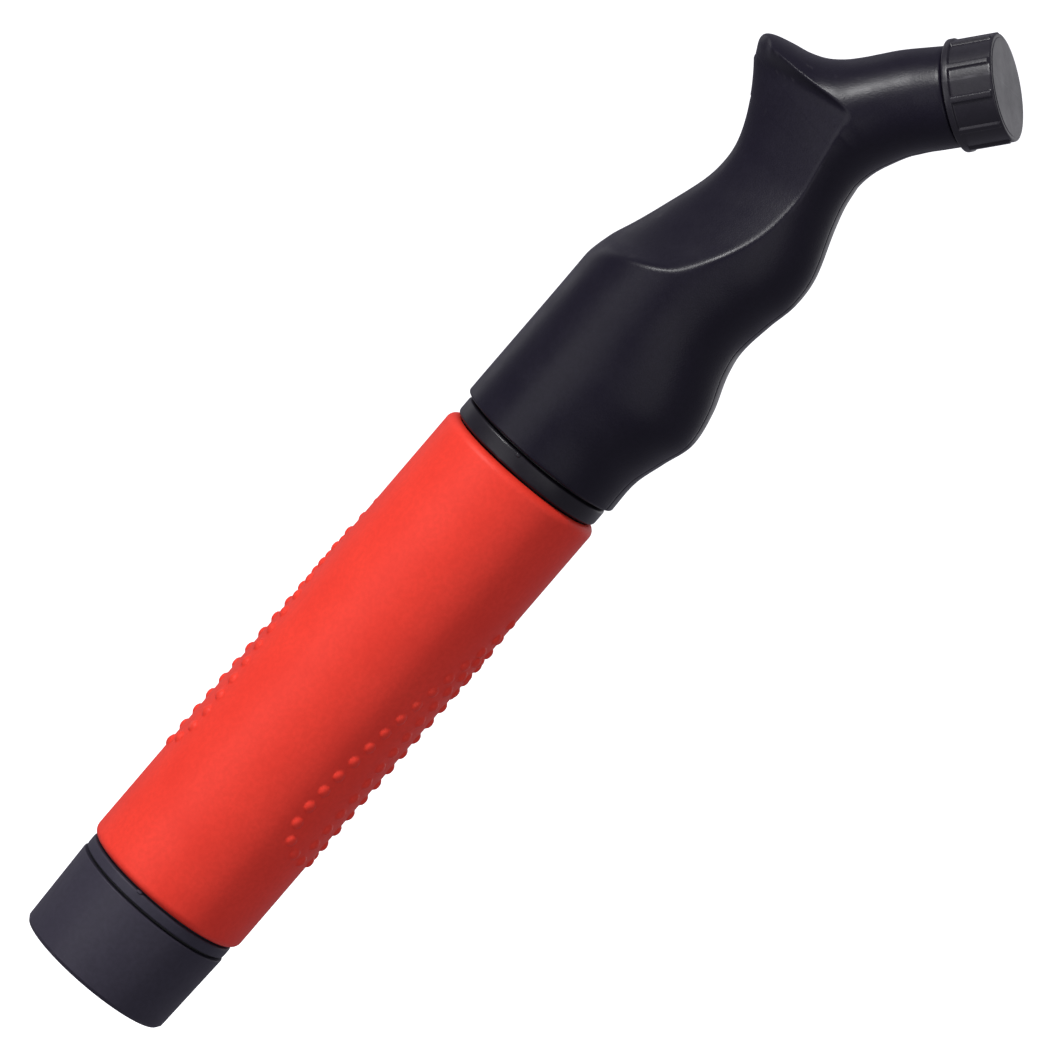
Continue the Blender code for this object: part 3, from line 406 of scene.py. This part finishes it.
class Nodes:
    """A short way to wire a material's nodes."""

    def __init__(self, name):
        self.material = bpy.data.materials.new(name)
        self.material.use_nodes = True
        self.tree = self.material.node_tree
        self.shader = self.tree.nodes["Principled BSDF"]
        self.place = self.add("ShaderNodeTexCoord").outputs["Object"]

    def add(self, kind, **settings):
        node = self.tree.nodes.new(kind)
        for key, value in settings.items():
            setattr(node, key, value)
        return node

    def link(self, source, target):
        self.tree.links.new(source, target)

    def noise(self, scale, detail=3.0, roughness=0.5, stretch=None):
        """Noise in the object's own space. scale is features to the metre."""
        node = self.add("ShaderNodeTexNoise")
        node.inputs["Scale"].default_value = scale
        node.inputs["Detail"].default_value = detail
        node.inputs["Roughness"].default_value = roughness
        source = self.place
        if stretch is not None:
            mapping = self.add("ShaderNodeMapping")
            mapping.inputs["Scale"].default_value = stretch
            self.link(source, mapping.inputs["Vector"])
            source = mapping.outputs["Vector"]
        self.link(source, node.inputs["Vector"])
        return node.outputs["Fac"]

    def cells(self, scale):
        """The distance to the nearest of many scattered points."""
        node = self.add("ShaderNodeTexVoronoi")
        node.inputs["Scale"].default_value = scale
        self.link(self.place, node.inputs["Vector"])
        return node.outputs["Distance"]

    def spread(self, source, low, high, out_low=0.0, out_high=1.0):
        """The range from low to high drawn out to another range."""
        node = self.add("ShaderNodeMapRange")
        node.inputs["From Min"].default_value = low
        node.inputs["From Max"].default_value = high
        node.inputs["To Min"].default_value = out_low
        node.inputs["To Max"].default_value = out_high
        self.link(source, node.inputs["Value"])
        return node.outputs["Result"]

    def mix(self, amount, first, second):
        """Two colours mixed; each is a colour or another node's output."""
        node = self.add("ShaderNodeMix", data_type="RGBA")
        self.link(amount, node.inputs["Factor"])
        for value, socket in ((first, node.inputs[6]), (second, node.inputs[7])):
            if isinstance(value, tuple):
                socket.default_value = (*value, 1.0)
            else:
                self.link(value, socket)
        return node.outputs[2]

    def edges(self, low, high):
        """1 on convex edges and 0 elsewhere."""
        return self.spread(self.add("ShaderNodeNewGeometry").outputs["Pointiness"], low, high)

    def multiply(self, first, second):
        node = self.add("ShaderNodeMath", operation="MULTIPLY")
        self.link(first, node.inputs[0])
        self.link(second, node.inputs[1])
        return node.outputs[0]

    def bump(self, layers):
        """Bump from (height, strength, distance in mm) layers, coarse to fine."""
        normal = None
        for height, strength, distance in layers:
            node = self.add("ShaderNodeBump")
            node.inputs["Strength"].default_value = strength
            node.inputs["Distance"].default_value = distance * MM
            self.link(height, node.inputs["Height"])
            if normal is not None:
                self.link(normal, node.inputs["Normal"])
            normal = node.outputs["Normal"]
        self.link(normal, self.shader.inputs["Normal"])


def moulded(name, colour, tint, roughness, grain, grain_depth, worn, specular, coat):
    """A moulded plastic or rubber: mottled colour, fine grain, uneven gloss and rubbed edges."""
    nodes = Nodes(name)
    mottle = nodes.spread(nodes.noise(90.0, 5.0, 0.6), 0.3, 0.7)
    speck = nodes.spread(nodes.noise(grain * 0.6, 2.0), 0.35, 0.65)
    base = nodes.mix(mottle, colour, tint)
    flecked = nodes.mix(nodes.multiply(speck, nodes.spread(mottle, 0.0, 1.0, 0.10, 0.35)),
                        base, tuple(min(1.0, value * 1.5 + 0.004) for value in colour))
    rubbed = nodes.multiply(nodes.edges(0.52, 0.62), nodes.spread(nodes.noise(450.0), 0.35, 0.7))
    nodes.link(nodes.mix(rubbed, flecked, worn), nodes.shader.inputs["Base Color"])
    gloss = nodes.spread(nodes.noise(220.0, 6.0, 0.65), 0.25, 0.75,
                         roughness - 0.06, roughness + 0.07)
    nodes.link(gloss, nodes.shader.inputs["Roughness"])
    nodes.bump([
        (nodes.noise(35.0, 2.0), 0.10, 0.5),
        (nodes.noise(grain, 3.0, 0.6), 0.35, grain_depth),
        (nodes.cells(grain * 1.4), 0.22, grain_depth),
    ])
    nodes.shader.inputs["Specular IOR Level"].default_value = specular
    nodes.shader.inputs["Coat Weight"].default_value = coat
    nodes.shader.inputs["Coat Roughness"].default_value = 0.3
    return nodes.material


def machined(name, colour, tarnish, roughness, stretch):
    """A turned or plated metal: fine tool marks, uneven polish and dull patches."""
    nodes = Nodes(name)
    patches = nodes.spread(nodes.noise(160.0, 6.0, 0.65), 0.42, 0.75)
    nodes.link(nodes.mix(patches, colour, tarnish), nodes.shader.inputs["Base Color"])
    marks = nodes.noise(900.0, 2.0, 0.5, stretch)
    nodes.link(nodes.spread(marks, 0.3, 0.7, roughness - 0.07, roughness + 0.10),
               nodes.shader.inputs["Roughness"])
    nodes.bump([(marks, 0.12, 0.03), (nodes.noise(2600.0, 2.0), 0.06, 0.02)])
    nodes.shader.inputs["Metallic"].default_value = 1.0
    return nodes.material


def make_finishes():
    """A material for each of the record's slots, and one for the nozzle cap."""
    finishes = {name: moulded(name, *values) for name, values in MOULDED.items()}
    finishes.update({name: machined(name, *values) for name, values in MACHINED.items()})
    return finishes


# ---------------------------------------------------------------- the object

class Pump:
    """Adds pieces to the frame, each with its finish, its body and the CAD nodes it stands for."""

    def __init__(self, frame):
        self.finishes = make_finishes()
        self.slots = {row["node"]: row["material_slot"] for row in frame["record"]["subparts"]}
        self.bodies = {node: body for body, members in frame["record"]["behaviour"]["bodies"].items()
                       for node in members}
        self.nodes = frame["nodes"]

    def paint_cad_nodes(self):
        """The CAD nodes that stay in view get their slot's finish and smooth shading."""
        for name, node in self.nodes.items():
            node.data.materials.clear()
            node.data.materials.append(self.finishes[self.slots[name]])
            node.data.shade_smooth()
            node.data.set_sharp_from_angle(angle=math.radians(30.0))

    def add(self, name, mesh, node, place=None, sharp_angle=40.0, finish=None):
        """A fine piece in place of a CAD node, built in millimetres. It has its slot's finish,
        unless it is given another."""
        if place is not None:
            mesh.transform(place)
        finish_mesh(mesh, sharp_angle)
        mesh.materials.clear()
        mesh.materials.append(self.finishes[finish or self.slots[node]])
        piece = bpy.data.objects.new(name, mesh)
        bpy.context.scene.collection.objects.link(piece)
        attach(piece, self.bodies[node])
        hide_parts(node)


def head_sections():
    """For each section of the head: its middle, front and back as (X, Z), and its half width."""
    sections = []
    heights = np.arange(HEAD_LOW, PIVOT[1], 0.45)
    for z, front, back, side in zip(heights, interpolate(FRONT_LINE, heights),
                                    interpolate(BACK_LINE, heights),
                                    interpolate(SIDE_LINE, heights)):
        sections.append(((0.0, z), (front, z), (-back, z), side))
    # The sections lie closest where the horn falls away to the spout.
    fan = np.concatenate([np.arange(0.0, 6.0, 0.4), np.arange(6.0, 18.0, 0.15),
                          np.arange(18.0, 36.01, 0.5)])
    for angle, (under, middle, back, side) in zip(fan, interpolate(BEND, fan)):
        cos, sin = math.cos(math.radians(angle)), math.sin(math.radians(angle))
        points = [(PIVOT[0] - reach * cos, PIVOT[1] + reach * sin)
                  for reach in (middle, under, back)]
        sections.append((*points, side))
    lean = math.radians(SPOUT_LEAN)
    reach_x, reach_z = SPOUT_END_R * math.cos(lean), SPOUT_END_R * math.sin(lean)
    last = sections[-1]
    end = (SPOUT_END, (SPOUT_END[0] + reach_x, SPOUT_END[1] - reach_z),
           (SPOUT_END[0] - reach_x, SPOUT_END[1] + reach_z), SPOUT_END_R)
    for share in np.linspace(0.0, 1.0, 12)[1:]:
        points = [tuple(np.array(a) * (1 - share) + np.array(b) * share)
                  for a, b in zip(last[:3], end[:3])]
        sections.append((*points, last[3] * (1 - share) + end[3] * share))
    return sections


def rounded_ends(sections, edge=0.4, steps=5):
    """The sections with small rounded edges added at both ends: each gains its inset."""
    low, high = sections[0], sections[-1]
    lean = math.radians(SPOUT_LEAN)
    turns = [math.pi / 2 * k / steps for k in range(steps)]
    moves = [(edge * (1 - math.sin(turn)), edge * (1 - math.cos(turn))) for turn in turns]
    with_inset = [((*[(x, z + rise) for x, z in low[:3]], low[3]), inset)
                  for inset, rise in moves]
    with_inset += [(section, 0.0) for section in sections[:-1] if section[0][1] > HEAD_LOW + edge]
    with_inset += [((*[(x - math.sin(lean) * rise, z - math.cos(lean) * rise)
                       for x, z in high[:3]], high[3]), inset)
                   for inset, rise in reversed(moves)]
    return with_inset


def scoop_depth(points, middles):
    """How far each point is from its section's middle, and how far off the scoop is in the same
    direction. The scoop is found by halving, as a share of the point's own distance."""
    # A point whose search finds nothing up to the farthest share is clear of the scoop.
    farthest = 3.0
    clear = 9.0
    rise = math.tan(math.radians(SCOOP_TILT))
    across = points - middles
    length = np.linalg.norm(across, axis=2)
    low = np.zeros(length.shape)
    high = np.full(length.shape, farthest)

    def outside(share):
        place = middles + across * share[..., None]
        level = (place[..., 2] - place[..., 0] * rise).ravel()
        ridge = interpolate(SCOOP_RIDGE, level).reshape(share.shape)
        curve = interpolate(SCOOP_CURVE, level).reshape(share.shape)
        below = np.clip(SCOOP_RIDGE[0][0] - level.reshape(share.shape), 0.0, None)
        return place[..., 0] < -ridge - below * SCOOP_RUN_OUT + curve * place[..., 1] ** 2

    blocked = outside(high)
    for _ in range(26):
        middle = (low + high) / 2
        hit = outside(middle)
        high = np.where(hit, middle, high)
        low = np.where(hit, low, middle)
    return length, np.where(blocked, high, clear) * length


def head_half_rows(side):
    """Rows of points over one half of the head, from the front seam round to the back seam."""
    sections = rounded_ends(head_sections())
    # Angles from the front seam to the back one, closest at both.
    near_seam = [0.0, 0.006, 0.014, 0.028, 0.05]
    angles = np.array(near_seam + list(np.linspace(0.08, math.pi - 0.08, 120))
                      + [math.pi - value for value in reversed(near_seam)])
    reach = np.abs(np.cos(angles))
    forward = np.cos(angles) >= 0.0
    rows = []
    middles = []
    insets = []
    for (middle, front, back, half_width), inset in sections:
        tip_x = np.where(forward, front[0], back[0])
        tip_z = np.where(forward, front[1], back[1])
        rows.append(np.stack([middle[0] + (tip_x - middle[0]) * reach,
                              side * half_width * np.sin(angles),
                              middle[1] + (tip_z - middle[1]) * reach], axis=1))
        middles.append(np.tile(np.array([middle[0], 0.0, middle[1]]), (len(angles), 1)))
        insets.append(inset)
    rows = np.array(rows)
    middles = np.array(middles)
    insets = np.array(insets)[:, None]

    length, limit = scoop_depth(rows, middles)
    limit = np.minimum(limit, length + HORN_EDGE)
    # Smoothed a little along the head, so that the scoop's ridge is even.
    for _ in range(4):
        limit[1:-1] = (limit[:-2] + 2 * limit[1:-1] + limit[2:]) / 4
    edge = interpolate(SCOOP_EDGE, rows[..., 2].ravel()).reshape(length.shape)
    horn = np.hypot(rows[..., 0] - HORN_MIDDLE[0], rows[..., 2] - HORN_MIDDLE[1])
    edge = edge + (HORN_EDGE - edge) * (1 - smooth_step(HORN_REACH * 0.4, HORN_REACH, horn))
    reached = soft_minimum(length, limit, edge) - insets
    near = np.clip(1 - np.abs(rows[..., 1]) / SEAM_GROOVE_HALF_WIDTH, 0.0, 1.0)
    groove = SEAM_GROOVE_DEPTH * near ** 2
    share = (reached - groove) / length
    rows = middles + (rows - middles) * share[..., None]
    rows[..., 1] = side * np.maximum(np.abs(rows[..., 1]), SEAM_GAP)
    return rows


def head_cutters(side):
    """The hollows that show from outside: the bayonet skirt, the bore above it and the socket."""
    skirt = [(0.0, 101.0, 0), (12.35, 101.0, 0), (12.35, 103.0, 0), (12.05, 103.3, 0),
             (12.05, 104.9, 0), (12.8, 104.9, 0), (12.8, 107.9, 0), (9.9, 107.9, 0),
             (9.9, 121.0, 0), (0.0, 121.0, 0)]
    cutters = [lathe("skirt", skirt, 144, closed=False)]
    for angle in LUG_ANGLES:
        cutters.append(rounded_block("lug_slot", (3.4, 3.9, 3.5), 0.3,
                                     around(angle, 11.3, 103.6)))
    seat = lathe("socket_seat", [(0.0, 2.0, 0), (5.35, 2.0, 0), (5.35, -2.2, 0), (6.45, -2.2, 0),
                                 (6.45, -7.0, 0), (0.0, -7.0, 0)], 96, closed=False)
    seat.transform(spout_frame())
    cutters.append(seat)
    if side > 0:
        for x, z, depth in SCREWS:
            sink = lathe("screw_sink", [(0.0, 25.0, 0), (2.5, 25.0, 0), (2.5, depth, 0),
                                        (0.0, depth, 0)], 48, closed=False)
            sink.transform(across_frame(x, z))
            cutters.append(sink)
    return cutters


def make_head(pump):
    """The head's two halves, solid but for the hollows that show."""
    for name, side in (("head_shell_left", -1), ("head_shell_right", 1)):
        solid = grid_mesh(name + "_skin", head_half_rows(side), capped=True)
        pump.add(name + "_fine", cut_mesh(solid, head_cutters(side)), name, sharp_angle=50.0)


def make_screws(pump):
    """Pan-head screws with a cross recess."""
    for number, (x, z, seat) in enumerate(SCREWS, start=1):
        low = seat + SCREW_GAP
        tip = low - SCREW_LENGTH
        body = lathe("screw", [(0.0, low + SCREW_HEAD_H, 0), (1.6, low + SCREW_HEAD_H, 0.5),
                               (SCREW_HEAD_R, low + 0.9, 0.3), (SCREW_HEAD_R, low, 0.1),
                               (SCREW_R, low, 0.1), (SCREW_R, tip + 1.0, 0), (0.0, tip, 0)],
                     48, closed=False)
        slots = [rounded_block("slot", size, 0.08, Matrix.Translation((0.0, 0.0, low + 1.4)))
                 for size in ((2.6, 0.55, 1.3), (0.55, 2.6, 1.3))]
        node = "casing_screw_%d" % number
        pump.add(node + "_fine", cut_mesh(body, slots), node, across_frame(x, z), 35.0)


def dot_places():
    """Angle and height of each raised dot of one drop, from the drop's own middle."""
    dots = []
    for outline in (DROP_OUTLINE, DROP_MIDDLE):
        heights = np.linspace(outline[0][0], outline[-1][0], 400)
        widths = interpolate(outline, heights)
        steps = np.hypot(np.diff(heights), np.diff(widths))
        along = np.concatenate([[0.0], np.cumsum(steps)])
        count = int(round(along[-1] / DOT_PITCH))
        for distance in np.linspace(0.0, along[-1], count + 1):
            height = np.interp(distance, along, heights)
            width = np.interp(distance, along, widths)
            dots += [(side * width / GRIP_R, height) for side in (-1, 1)]
    dots.append((0.0, DROP_OUTLINE[-1][0] + DOT_PITCH * 0.95))
    return dots


def grip_relief(angles, height, radius):
    """Raised dots on the front and back of the sleeve."""
    raised = np.zeros(angles.shape)
    outer = radius > GRIP_R - 0.02
    for middle in (0.0, math.pi):
        centre = middle + math.radians(GRIP_TURN)
        for offset, z in dot_places():
            turned = (angles - centre - offset + math.pi) % (2 * math.pi) - math.pi
            distance = np.hypot(turned * GRIP_R, height - z) / DOT_R
            dome = np.clip(1 - distance ** 2, 0.0, 1.0) ** DOT_ROUNDNESS
            raised = np.maximum(raised, DOT_HEIGHT * dome)
    return np.where(outer, raised, 0.0)


def make_grip(pump):
    """The dotted sleeve, fine enough for each dot to be round."""
    points = [(GRIP_BORE_R, GRIP_HIGH, 0), (GRIP_R, GRIP_HIGH, GRIP_FILLET),
              (GRIP_R, GRIP_LOW, GRIP_FILLET), (GRIP_BORE_R, GRIP_LOW, 0)]
    mesh = lathe("grip", points, 440, relief=grip_relief, longest=0.2, segments=8)
    pump.add("grip_sleeve_fine", mesh, "grip_sleeve")


def make_top_ring(pump):
    """The ring over the grip with its bayonet spigot, two lugs and a small nib."""
    ring = lathe("ring", [(11.85, 107.2, 0.3), (11.85, 102.5, 0.15), (13.0, 102.5, 0.45),
                          (13.0, 99.6, 0.6), (10.8, 99.6, 0), (10.8, 93.5, 0.2),
                          (9.95, 93.5, 0.2), (9.95, 107.2, 0.2)], 192)
    blocks = [rounded_block("lug", (1.5, 3.0, 1.5), 0.2, around(angle, 11.75, 106.15))
              for angle in LUG_ANGLES]
    blocks.append(rounded_block("nib", (0.7, 0.8, 0.6), 0.22, around(-81.0, 12.8, 102.1)))
    pump.add("top_ring_fine", join_meshes("top_ring_fine", [ring, *blocks]), "top_ring")


def thread_relief(wall, pitch, depth, low, high):
    """A rounded screw thread cut into the wall of one radius, between two heights."""
    def relief(angles, height, radius):
        phase = (height / pitch - angles / (2 * math.pi)) * 2 * math.pi
        ridge = smooth_step(-0.35, 0.35, np.cos(phase)) - 1.0
        fade = smooth_step(low, low + 0.5, height) * (1 - smooth_step(high - 0.5, high, height))
        return np.where(np.abs(radius - wall) < 0.02, depth * ridge * fade, 0.0)
    return relief


def make_handle_tube(pump):
    """The tube behind the grip: its flange shows above the base cap, its thread under it."""
    tube = lathe("tube", [(12.1, 98.7, 0.1), (12.1, 16.2, 0.05), (13.15, 16.2, 0.35),
                          (13.15, 14.45, 0.2), (HANDLE_THREAD_R, 14.45, 0.1),
                          (HANDLE_THREAD_R, 7.0, 0.3), (10.3, 7.0, 0.3), (10.3, 15.2, 0),
                          (11.0, 15.2, 0), (11.0, 98.7, 0.1)],
                 160, relief=thread_relief(HANDLE_THREAD_R, *BASE_THREAD, 7.2, 13.6), longest=0.3)
    nib = rounded_block("flange_nib", (0.6, 0.9, 0.5), 0.2, around(-83.0, 13.0, 16.15))
    pump.add("handle_tube_fine", join_meshes("handle_tube_fine", [tube, nib]), "handle_tube",
             finish="cap_plastic")


def make_base_cap(pump):
    """The screw cap at the foot, and the gasket in the groove over it."""
    points = [(0.0, 1.8, 0), (11.75, 1.8, 0.3), (11.75, 13.95, 0.2), (13.3, 13.95, 0.18),
              (12.86, 0.6, 0.12), (12.45, 0.0, 0.12), (11.2, 0.0, 0.2), (10.9, 0.25, 0.2),
              (0.0, 0.25, 0)]
    pump.add("base_cap_fine", lathe("cap", points, 192, closed=False), "base_cap",
             sharp_angle=55.0)
    gasket = [(12.5, 14.4, 0.12), (12.5, 14.05, 0.12), (11.7, 14.05, 0.05), (11.7, 14.4, 0.05)]
    pump.add("base_cap_gasket_fine", lathe("gasket", gasket, 128), "base_cap_gasket")


def cap_relief(angles, height, radius):
    """Thin ribs along the nozzle cap's wall."""
    raised = np.zeros(angles.shape)
    wall = smooth_step(7.4, 7.9, radius)
    length = smooth_step(0.75, 1.25, height) * (1 - smooth_step(7.3, 7.62, height))
    for k in range(CAP_RIBS):
        middle = math.radians(360.0 * k / CAP_RIBS + CAP_RIB_TURN)
        across = np.abs((angles - middle + math.pi) % (2 * math.pi) - math.pi) * radius
        raised = np.maximum(raised, 1 - smooth_step(0.30, 0.62, across))
    return raised * wall * length * np.clip(CAP_RIB_R - radius, 0.0, None)


def make_nozzle_cap(pump):
    """The ribbed cap over the needle socket, with a plain rim next to the spout."""
    points = [(0.0, 7.9, 0), (7.3, 7.9, 0.1), (7.45, 7.82, 0.1), (8.05, 7.82, 0.28),
              (8.05, 1.45, 0.2), (8.4, 1.25, 0.15), (8.4, 0.3, 0.25), (6.5, 0.3, 0.15),
              (6.5, 6.75, 0.2), (0.0, 6.75, 0)]
    mesh = lathe("cap", points, 480, closed=False, relief=cap_relief, longest=0.22, segments=4)
    pump.add("nozzle_cap_fine", mesh, "nozzle_cap", spout_frame(), finish="nozzle_plastic")


def make_nozzle_body(pump):
    """The brass needle socket: its outside thread takes the cap, its inside one the needle."""
    outer = thread_relief(SOCKET_R, *NOZZLE_THREAD, 0.5, 5.4)
    inner = thread_relief(SOCKET_BORE_R, *NEEDLE_THREAD, -3.5, 5.2)

    def relief(angles, height, radius):
        return outer(angles, height, radius) + inner(angles, height, radius)

    points = [(SOCKET_R, 5.5, 0.35), (SOCKET_R, 0.3, 0.2), (5.05, 0.3, 0), (5.05, -2.45, 0),
              (SOCKET_R, -2.45, 0), (SOCKET_R, -6.0, 0), (3.0, -6.0, 0), (1.95, -7.0, 0),
              (1.95, -13.0, 0.2), (1.2, -13.0, 0.1), (1.2, -5.5, 0), (SOCKET_BORE_R, -5.5, 0),
              (SOCKET_BORE_R, 5.5, 0.35)]
    mesh = lathe("socket", points, 128, relief=relief, longest=0.14)
    pump.add("nozzle_body_fine", mesh, "nozzle_body", spout_frame())


def make_cylinder(pump):
    """The cylinder that comes into view as the handle is drawn out, with its collar."""
    points = [(9.6, 118.0, 0.2), (9.6, 114.0, 0), (10.8, 114.0, 0.2), (10.8, 112.0, 0.2),
              (9.6, 112.0, 0), (9.6, 24.0, 0.35), (8.6, 24.0, 0.2), (8.6, 118.0, 0.2)]
    pump.add("cylinder_tube_fine", lathe("cylinder", points, 192), "cylinder_tube")


# ---------------------------------------------------------------- stage

def camera_axes():
    """The camera's right, up and backward directions, and the point it looks at in metres."""
    azimuth = math.radians(CAMERA_AZIMUTH)
    elevation = math.radians(CAMERA_ELEVATION)
    roll = math.radians(CAMERA_ROLL)
    back = Vector((math.sin(azimuth) * math.cos(elevation),
                   -math.cos(azimuth) * math.cos(elevation), math.sin(elevation)))
    level = Vector((math.cos(azimuth), math.sin(azimuth), 0.0))
    above = back.cross(level)
    right = level * math.cos(roll) + above * math.sin(roll)
    up = above * math.cos(roll) - level * math.sin(roll)
    target = Vector((LOOK_REACH * math.cos(azimuth), LOOK_REACH * math.sin(azimuth), LOOK_HEIGHT))
    return right, up, back, target * MM


def make_camera():
    """The camera, far off with a long lens."""
    right, up, back, target = camera_axes()
    camera = bpy.data.objects.new("camera", bpy.data.cameras.new("camera"))
    bpy.context.scene.collection.objects.link(camera)
    axes = Matrix((right, up, back)).transposed().to_4x4()
    camera.matrix_world = Matrix.Translation(target + back * CAMERA_DISTANCE * MM) @ axes
    camera.data.sensor_width = 36.0
    camera.data.lens = CAMERA_LENS
    camera.data.clip_start = 0.01
    camera.data.clip_end = 20.0
    bpy.context.scene.camera = camera


def area_light(name, side, rise, out, width, height, power):
    """A soft box that faces the point looked at."""
    right, up, back, target = camera_axes()
    light = bpy.data.lights.new(name, "AREA")
    light.shape = "RECTANGLE"
    light.size = width
    light.size_y = height
    light.energy = power
    lamp = bpy.data.objects.new(name, light)
    lamp.visible_camera = False
    bpy.context.scene.collection.objects.link(lamp)
    lamp.location = target + right * side + up * rise + back * out
    lamp.rotation_euler = (lamp.location - target).to_track_quat("Z", "Y").to_euler()


def make_floor():
    """A pale floor that shines a little, so that it stays even under the soft light."""
    mesh = bpy.data.meshes.new("floor")
    corners = [(x * FLOOR_HALF_WIDTH, y * FLOOR_HALF_WIDTH, FLOOR_Z)
               for x, y in ((-1, -1), (1, -1), (1, 1), (-1, 1))]
    mesh.from_pydata(corners, [], [(0, 1, 2, 3)])
    floor = bpy.data.objects.new("floor", mesh)
    bpy.context.scene.collection.objects.link(floor)
    nodes = Nodes("floor_white")
    shade = nodes.spread(nodes.noise(3.0), 0.2, 0.8)
    nodes.link(nodes.mix(shade, (0.90, 0.90, 0.90), (0.94, 0.94, 0.94)),
               nodes.shader.inputs["Base Color"])
    nodes.shader.inputs["Roughness"].default_value = 0.9
    nodes.shader.inputs["Specular IOR Level"].default_value = 0.1
    nodes.shader.inputs["Emission Color"].default_value = (1.0, 1.0, 1.0, 1.0)
    nodes.shader.inputs["Emission Strength"].default_value = 0.96
    mesh.materials.append(nodes.material)
    floor.visible_glossy = False
    floor.visible_diffuse = False


def make_world():
    """White to look at, but dim as a light, so that the soft boxes shape the object."""
    world = bpy.data.worlds.new("studio")
    bpy.context.scene.world = world
    world.use_nodes = True
    tree = world.node_tree
    output = tree.nodes["World Output"]
    seen = tree.nodes["Background"]
    seen.inputs["Color"].default_value = (1.0, 1.0, 1.0, 1.0)
    seen.inputs["Strength"].default_value = 1.0
    felt = tree.nodes.new("ShaderNodeBackground")
    felt.inputs["Color"].default_value = (0.86, 0.84, 1.0, 1.0)
    felt.inputs["Strength"].default_value = 0.30
    path = tree.nodes.new("ShaderNodeLightPath")
    mix = tree.nodes.new("ShaderNodeMixShader")
    tree.links.new(path.outputs["Is Camera Ray"], mix.inputs[0])
    tree.links.new(felt.outputs[0], mix.inputs[1])
    tree.links.new(seen.outputs[0], mix.inputs[2])
    tree.links.new(mix.outputs[0], output.inputs["Surface"])


def make_stage():
    """The camera, the floor, the world and the lights."""
    make_camera()
    make_floor()
    make_world()
    for name, values in LIGHTS.items():
        area_light(name, *values)
    bpy.context.scene.view_settings.view_transform = "Standard"


def main():
    """The frame with its fine pieces and the stage."""
    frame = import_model()
    pump = Pump(frame)
    pump.paint_cad_nodes()
    make_head(pump)
    make_screws(pump)
    make_grip(pump)
    make_top_ring(pump)
    make_handle_tube(pump)
    make_base_cap(pump)
    make_nozzle_cap(pump)
    make_nozzle_body(pump)
    make_cylinder(pump)
    make_stage()


main()
